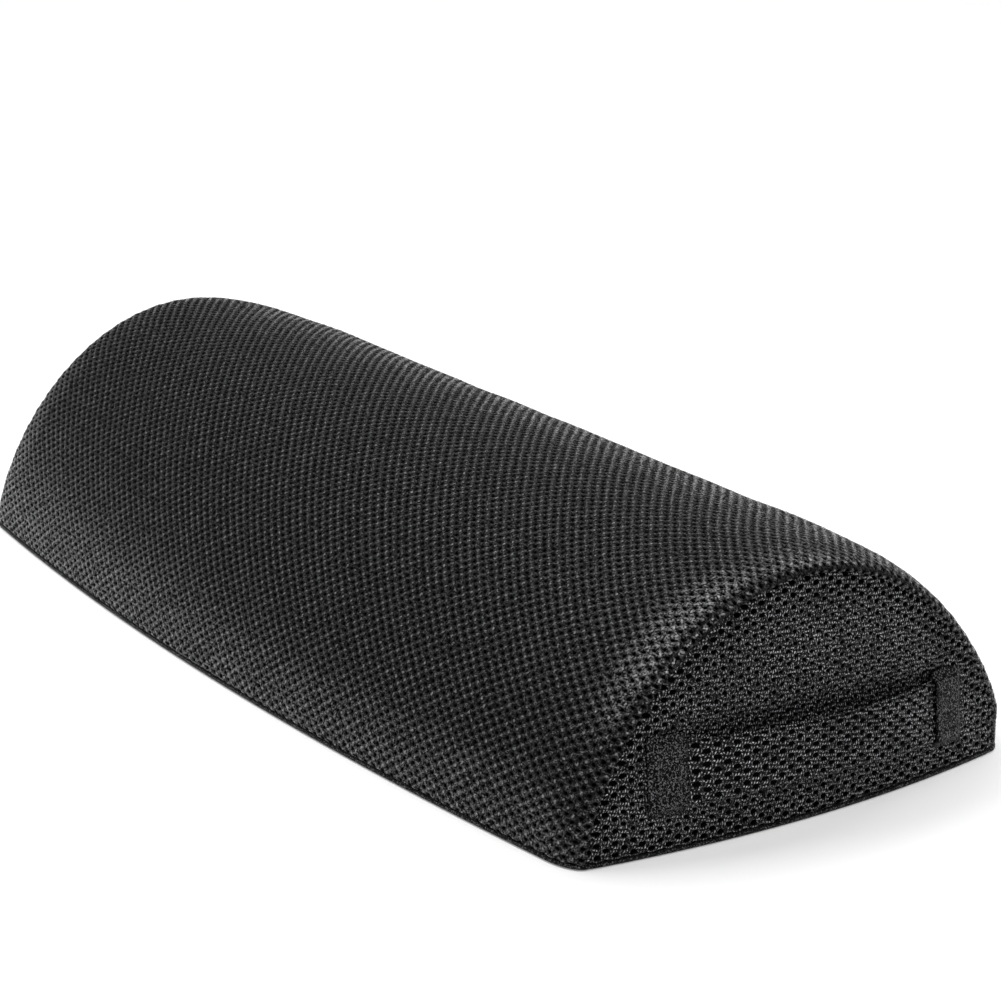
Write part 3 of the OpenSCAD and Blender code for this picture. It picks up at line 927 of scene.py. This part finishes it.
def handleStrap():
    low, high, around = (-strapEnd, -1), (strapEnd, 1), strapRuns[-1]
    columns = round(2 * strapEnd / strapCell["column"])
    rows = round(around / strapCell["row"])
    sheet = latticeSheet(strapCell, columns, rows, closed=True)
    index = getCoords(sheet)
    dropFaces(sheet, (index[:, 0] > 0) & (index[:, 0] < columns))
    index = getCoords(sheet)
    y = (np.clip(index[:, 0], 0, columns) / columns * 2 - 1) * strapEnd
    placed, normals = onSurface(strapSurface, y, index[:, 1] / rows * around, awayFromStrap, low, high)
    height = index[:, 2] + random.normal(0, lattice["jitter"] / 2, len(y))
    keepNormals(sheet, normals)
    setCoords(sheet, placed + normals * height[:, None])
    weld(sheet, handle["seamGap"])
    core = gridMesh(*handle["grid"], (-strapEnd, 0), (strapEnd, around))
    flat = getCoords(core)
    placed, normals = onSurface(strapSurface, flat[:, 0], flat[:, 1], awayFromStrap, low, high)
    keepNormals(core, normals)
    setCoords(core, placed - normals * handle["skin"])

    def close(bm):
        bmesh.ops.remove_doubles(bm, verts=bm.verts, dist=5 * tiny)
        bmesh.ops.holes_fill(bm, edges=bm.edges, sides=60)
        bmesh.ops.recalc_face_normals(bm, faces=bm.faces)

    return joined("strap", [finished(sheet), editMesh(core, close)], [strapMaterial, backMaterial])


def tabSurface(side, a, b):
    # a runs in from the tab's outer edge, b up from its lower edge
    y = side * (handle["tabOut"] - a)
    z = lineHeight(y) + b - handle["tabHeight"] / 2
    toEdge = np.minimum(b, handle["tabHeight"] - b)
    lift = softStep((a - handle["hem"]) / handle["ramp"])
    lift *= softStep((toEdge - handle["hem"]) / handle["ramp"])
    x = endSurface(y, z)[..., 0] + handle["seat"] + lift * (handle["endThick"] + handle["seat"])
    return np.stack([x, y, z], axis=-1)


def addStitch(bm, start, end, up):
    # One stitch: a low bead of thread that dips in at its ends
    start, end = Vector(start), Vector(end)
    along = (end - start).normalized()
    across = Vector(up).cross(along).normalized()
    size = Matrix.Diagonal(((end - start).length / 2, stitch["halfWidth"], stitch["halfHeight"], 1))
    place = axesAt((start + end) / 2, along, across, along.cross(across)) @ size
    bmesh.ops.create_icosphere(bm, subdivisions=1, radius=1, matrix=place)


def tabPatch(name, side):
    wide, high = handle["tabOut"] - handle["patchIn"], handle["tabHeight"]
    grid = gridMesh(*tabForm["grid"], (0, 0), (wide, high))
    flat = getCoords(grid)
    a, b = flat[:, 0], flat[:, 1]
    border = np.minimum(np.minimum(a, wide - a), np.minimum(b, high - b))
    toStitch = border - stitch["inset"]
    groove = tabForm["groove"] * np.exp(-(toStitch / tabForm["grooveWidth"]) ** 2)
    sunk = tabForm["hem"] * softStep(toStitch / tabForm["hemWidth"])
    rounded = tabForm["round"] * (1 - softStep(border / tabForm["roundWidth"]))
    coords = tabSurface(side, a, b)
    coords[:, 0] += handle["tabThick"] - groove - sunk - rounded
    setCoords(grid, coords)

    def thicken(bm):
        mapWeave(bm, lambda corner: flat[corner.index][:2])
        bmesh.ops.recalc_face_normals(bm, faces=bm.faces)
        faceTowards(bm, 0)
        bmesh.ops.solidify(bm, geom=bm.faces[:], thickness=handle["tabThick"] - tabForm["clearance"])

    editMesh(grid, thicken)
    rim = stitch["inset"]
    corners = [(rim, rim), (wide - rim, rim), (wide - rim, high - rim), (rim, high - rim), (rim, rim)]
    thread = bmesh.new()
    lift = np.array([handle["tabThick"] - stitch["sunk"], 0, 0])
    for start, end in zip(corners, corners[1:]):
        count = round(math.dist(start, end) / stitch["pitch"])
        reach = stitch["length"] / math.dist(start, end) / 2
        for k in range(count):
            middle = (k + 0.5) / count
            ends = [tabSurface(side, *lerp(np.array(start), np.array(end), middle + shift)) + lift
                    for shift in (-reach, reach)]
            addStitch(thread, *ends, (1, 0, 0))
    return joined(name, [grid, meshOf(thread)], [tabMaterial, threadMaterial])


dress(handleStrap(), "cushion", "handle_strap")
for name, side, node in (("tabFront", -1, "handle_tab_front"), ("tabRear", 1, "handle_tab_rear")):
    dress(tabPatch(name, side), "cushion", node)
print("scene: handle")

# Base fabric and its printed dots
base = {"low": 0.6 * mm, "round": 0.35 * mm, "foldAngle": 1.2, "grid": (140, 48), "crowding": 0.9,
        "endFit": 12, "dotPitch": 18 * mm, "dotMargin": 12 * mm, "dotRadius": 2 * mm,
        "dotLow": 1.65 * mm, "dotRound": 0.25 * mm}


def baseFabric():
    grid = gridMesh(*base["grid"], (-1, -1), (1, 1))
    flat = getCoords(grid)
    # The columns crowd towards the ends, where the outline turns
    x = seamHalf * np.sign(flat[:, 0]) * np.abs(np.sin(flat[:, 0] * math.pi / 2)) ** base["crowding"]
    beyond = np.clip((np.abs(x) - flatHalf) / shoulderLength, 0, 1)
    inset = shoulderDrop * (1 - np.sqrt(1 - beyond ** 2))
    front, rear = frontWidth(x) - inset, (rearWidth(x) - inset) * bandShare(inset)
    y = flat[:, 1] * np.where(flat[:, 1] < 0, front, rear)
    bulge = endSurface(np.clip(y, -endFront, endRear), np.full(len(y), deck))[:, 0] - seamHalf
    # Only the last columns follow the end panels' bulge
    x = x + np.sign(x) * bulge * np.abs(x / seamHalf) ** base["endFit"]
    setCoords(grid, np.stack([x, y, np.full(len(x), base["low"])], axis=-1))

    def thicken(bm):
        bmesh.ops.solidify(bm, geom=bm.faces[:], thickness=-(deck - base["low"]))
        bmesh.ops.recalc_face_normals(bm, faces=bm.faces)
        bevel(bm, sharpEdges(bm, base["foldAngle"]), base["round"])
        mapWeave(bm, lambda corner: (corner.co.x + corner.co.z, corner.co.y))

    return joined("baseFabric", [editMesh(grid, thicken)], [baseMaterial])


def gripDots():
    bm = bmesh.new()
    pitch = base["dotPitch"]
    rowStep = pitch * math.sin(math.pi / 3)
    rows, columns = math.ceil(cushion["depth"] / 2 / rowStep), math.ceil(seamHalf / pitch) + 1
    for r in range(-rows, rows + 1):
        for k in range(-columns, columns + 1):
            x, y = (k + abs(r % 2) / 2) * pitch, r * rowStep
            reach = endSurface(np.array([y]), np.array([deck]))[0, 0]
            rear = rearWidth(x) * bandShare(0) - base["dotMargin"]
            if abs(x) < reach - base["dotMargin"] and base["dotMargin"] - frontWidth(x) < y < rear:
                bmesh.ops.create_cone(bm, cap_ends=True, segments=16, depth=base["low"],
                                      radius1=base["dotLow"], radius2=base["dotRadius"],
                                      matrix=Matrix.Translation((x, y, base["low"] / 2)))
    lower = [edge for edge in bm.edges if all(corner.co.z < tiny for corner in edge.verts)]
    bevel(bm, lower, base["dotRound"], segments=1)
    return joined("gripDots", [meshOf(bm)], [dotMaterial])


fabric = dress(baseFabric(), "cushion", "base_panel")
dress(gripDots(), "cushion", "grip_dots")
print("scene: base")

# Zip: woven tapes, and the CAD's slider, pull and stops with their edges rounded
zipper = {"half": 175 * mm, "y": 113.132 * mm, "z": 10 * mm, "tapeEdge": 1.6 * mm,
          "tapeThick": 0.6 * mm, "grid": (70, 8), "weld": 0.003 * mm, "flatAngle": math.radians(2),
          "sharpAngle": math.radians(35)}


def zipTape(name, up):
    wide = zipBand / 2 - zipper["tapeEdge"]
    grid = gridMesh(*zipper["grid"], (-zipper["half"], 0), (zipper["half"], wide))
    flat = getCoords(grid)
    y = np.full(len(flat), zipper["y"] + zipper["tapeThick"] / 2)
    z = zipper["z"] + up * (zipper["tapeEdge"] + flat[:, 1])
    setCoords(grid, np.stack([flat[:, 0], y, z], axis=-1))

    def thicken(bm):
        faceTowards(bm, 1)
        bmesh.ops.solidify(bm, geom=bm.faces[:], thickness=zipper["tapeThick"])
        mapWeave(bm, lambda corner: (corner.co.x, corner.co.z))

    return joined(name, [editMesh(grid, thicken)], [tapeMaterial])


def roundedCopy(name, node, offset):
    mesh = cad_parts[node].data.copy()
    mesh.materials.clear()

    def soften(bm):
        bmesh.ops.remove_doubles(bm, verts=bm.verts, dist=zipper["weld"])
        bmesh.ops.dissolve_limit(bm, angle_limit=zipper["flatAngle"], verts=bm.verts, edges=bm.edges)
        bevel(bm, sharpEdges(bm, zipper["sharpAngle"]), offset, clamp=True)

    piece = joined(name, [editMesh(mesh, soften)], [metalMaterial])
    piece.data.shade_flat()
    return piece


for name, up, node in (("zipTapeUpper", 1, "zip_tape_upper"), ("zipTapeLower", -1, "zip_tape_lower")):
    dress(zipTape(name, up), "cushion", node)
for name, node, body, offset in (("zipSlider", "zip_slider", "slider", 0.15 * mm),
                                 ("zipPull", "zip_pull", "pull_tab", 0.2 * mm),
                                 ("zipTopStops", "zip_top_stops", "cushion", 0.12 * mm),
                                 ("zipBottomStop", "zip_bottom_stop", "cushion", 0.12 * mm)):
    dress(roundedCopy(name, node, offset), body, node)
for node in ("zip_teeth_upper", "zip_teeth_lower"):
    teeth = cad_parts[node]
    teeth.data.materials.clear()
    teeth.data.materials.append(toothMaterial)
print("scene: zip")

# Floor, backdrop, world and lights. What the camera sees of floor and backdrop is white.
studio = {"world": 0.2, "floor": 0.88, "floorGlow": 0.2, "reach": 40, "wall": 5}
suns = {
    "key": {"direction": (0.6, -0.2, 0.77), "softness": 36, "strength": 1.7},
    "behind": {"direction": (-0.3, 0.65, 0.7), "softness": 40, "strength": 0.8},
}
# A long soft box overhead on the left, which lights the shoulders' curve
softBox = {"direction": (-0.33, -0.29, 0.9), "along": (-0.15, 0.93, 0.17), "distance": 1.8,
           "length": 2.4, "width": 0.5, "power": 17}


def seenDirectly(tree):
    # 1 for a ray from the camera, or one that metal or glass sends on
    path = tree.nodes.new("ShaderNodeLightPath")
    shiny = maths(tree, "MAXIMUM", path.outputs["Is Glossy Ray"], path.outputs["Is Transmission Ray"])
    return maths(tree, "MAXIMUM", path.outputs["Is Camera Ray"], shiny)


def studioMaterial(name, always, seen, **values):
    # It gives off some light always, and more for a ray that sees it directly
    material, tree, shader = newMaterial(name, Emission_Color=(1, 1, 1, 1), **values)
    glow = maths(tree, "MULTIPLY_ADD", seenDirectly(tree), seen, always)
    setInputs(tree, shader, Emission_Strength=glow)
    return material


def addFloor():
    reach = studio["reach"]
    floor = newObject("floor", gridMesh(1, 1, (-reach, -reach), (reach, reach)))
    floor.data.materials.append(studioMaterial("floor", 0, studio["floorGlow"],
                                               Base_Color=grey(studio["floor"]), Roughness=0.9))


def addBackdrop():
    # A low white wall all round, far away, which lights no more than the world does
    ring = bmesh.new()
    bmesh.ops.create_circle(ring, segments=64, radius=studio["reach"])
    raised = bmesh.ops.extrude_edge_only(ring, edges=ring.edges[:])["geom"]
    bmesh.ops.translate(ring, verts=[part for part in raised if isinstance(part, bmesh.types.BMVert)],
                        vec=(0, 0, studio["wall"]))
    backdrop = newObject("backdrop", meshOf(ring))
    backdrop.data.materials.append(studioMaterial("backdrop", studio["world"], 1 - studio["world"],
                                                  Base_Color=grey(0), Specular_IOR_Level=0))


def addWorld():
    scene.world = bpy.data.worlds.new("studio")
    scene.world.use_nodes = True
    tree = scene.world.node_tree
    setInputs(tree, tree.nodes["Background"], Color=(1, 1, 1, 1), Strength=studio["world"])


def addSun(name, direction, softness, strength):
    sun = newObject(name, bpy.data.lights.new(name, "SUN"))
    sun.data.energy = strength
    sun.data.angle = math.radians(softness)
    sun.rotation_euler = Vector(direction).to_track_quat("Z", "Y").to_euler()


def addSoftBox():
    overhead = newObject("softBox", bpy.data.lights.new("softBox", "AREA"))
    overhead.data.shape = "RECTANGLE"
    overhead.data.size = softBox["length"]
    overhead.data.size_y = softBox["width"]
    overhead.data.energy = softBox["power"]
    outward = Vector(softBox["direction"]).normalized()
    side = outward.cross(Vector(softBox["along"])).normalized()
    overhead.matrix_world = axesAt(outward * softBox["distance"], side.cross(outward), side, outward)


addFloor()
addBackdrop()
addWorld()
for name, sun in suns.items():
    addSun(name, **sun)
addSoftBox()
scene.view_settings.view_transform = "Standard"
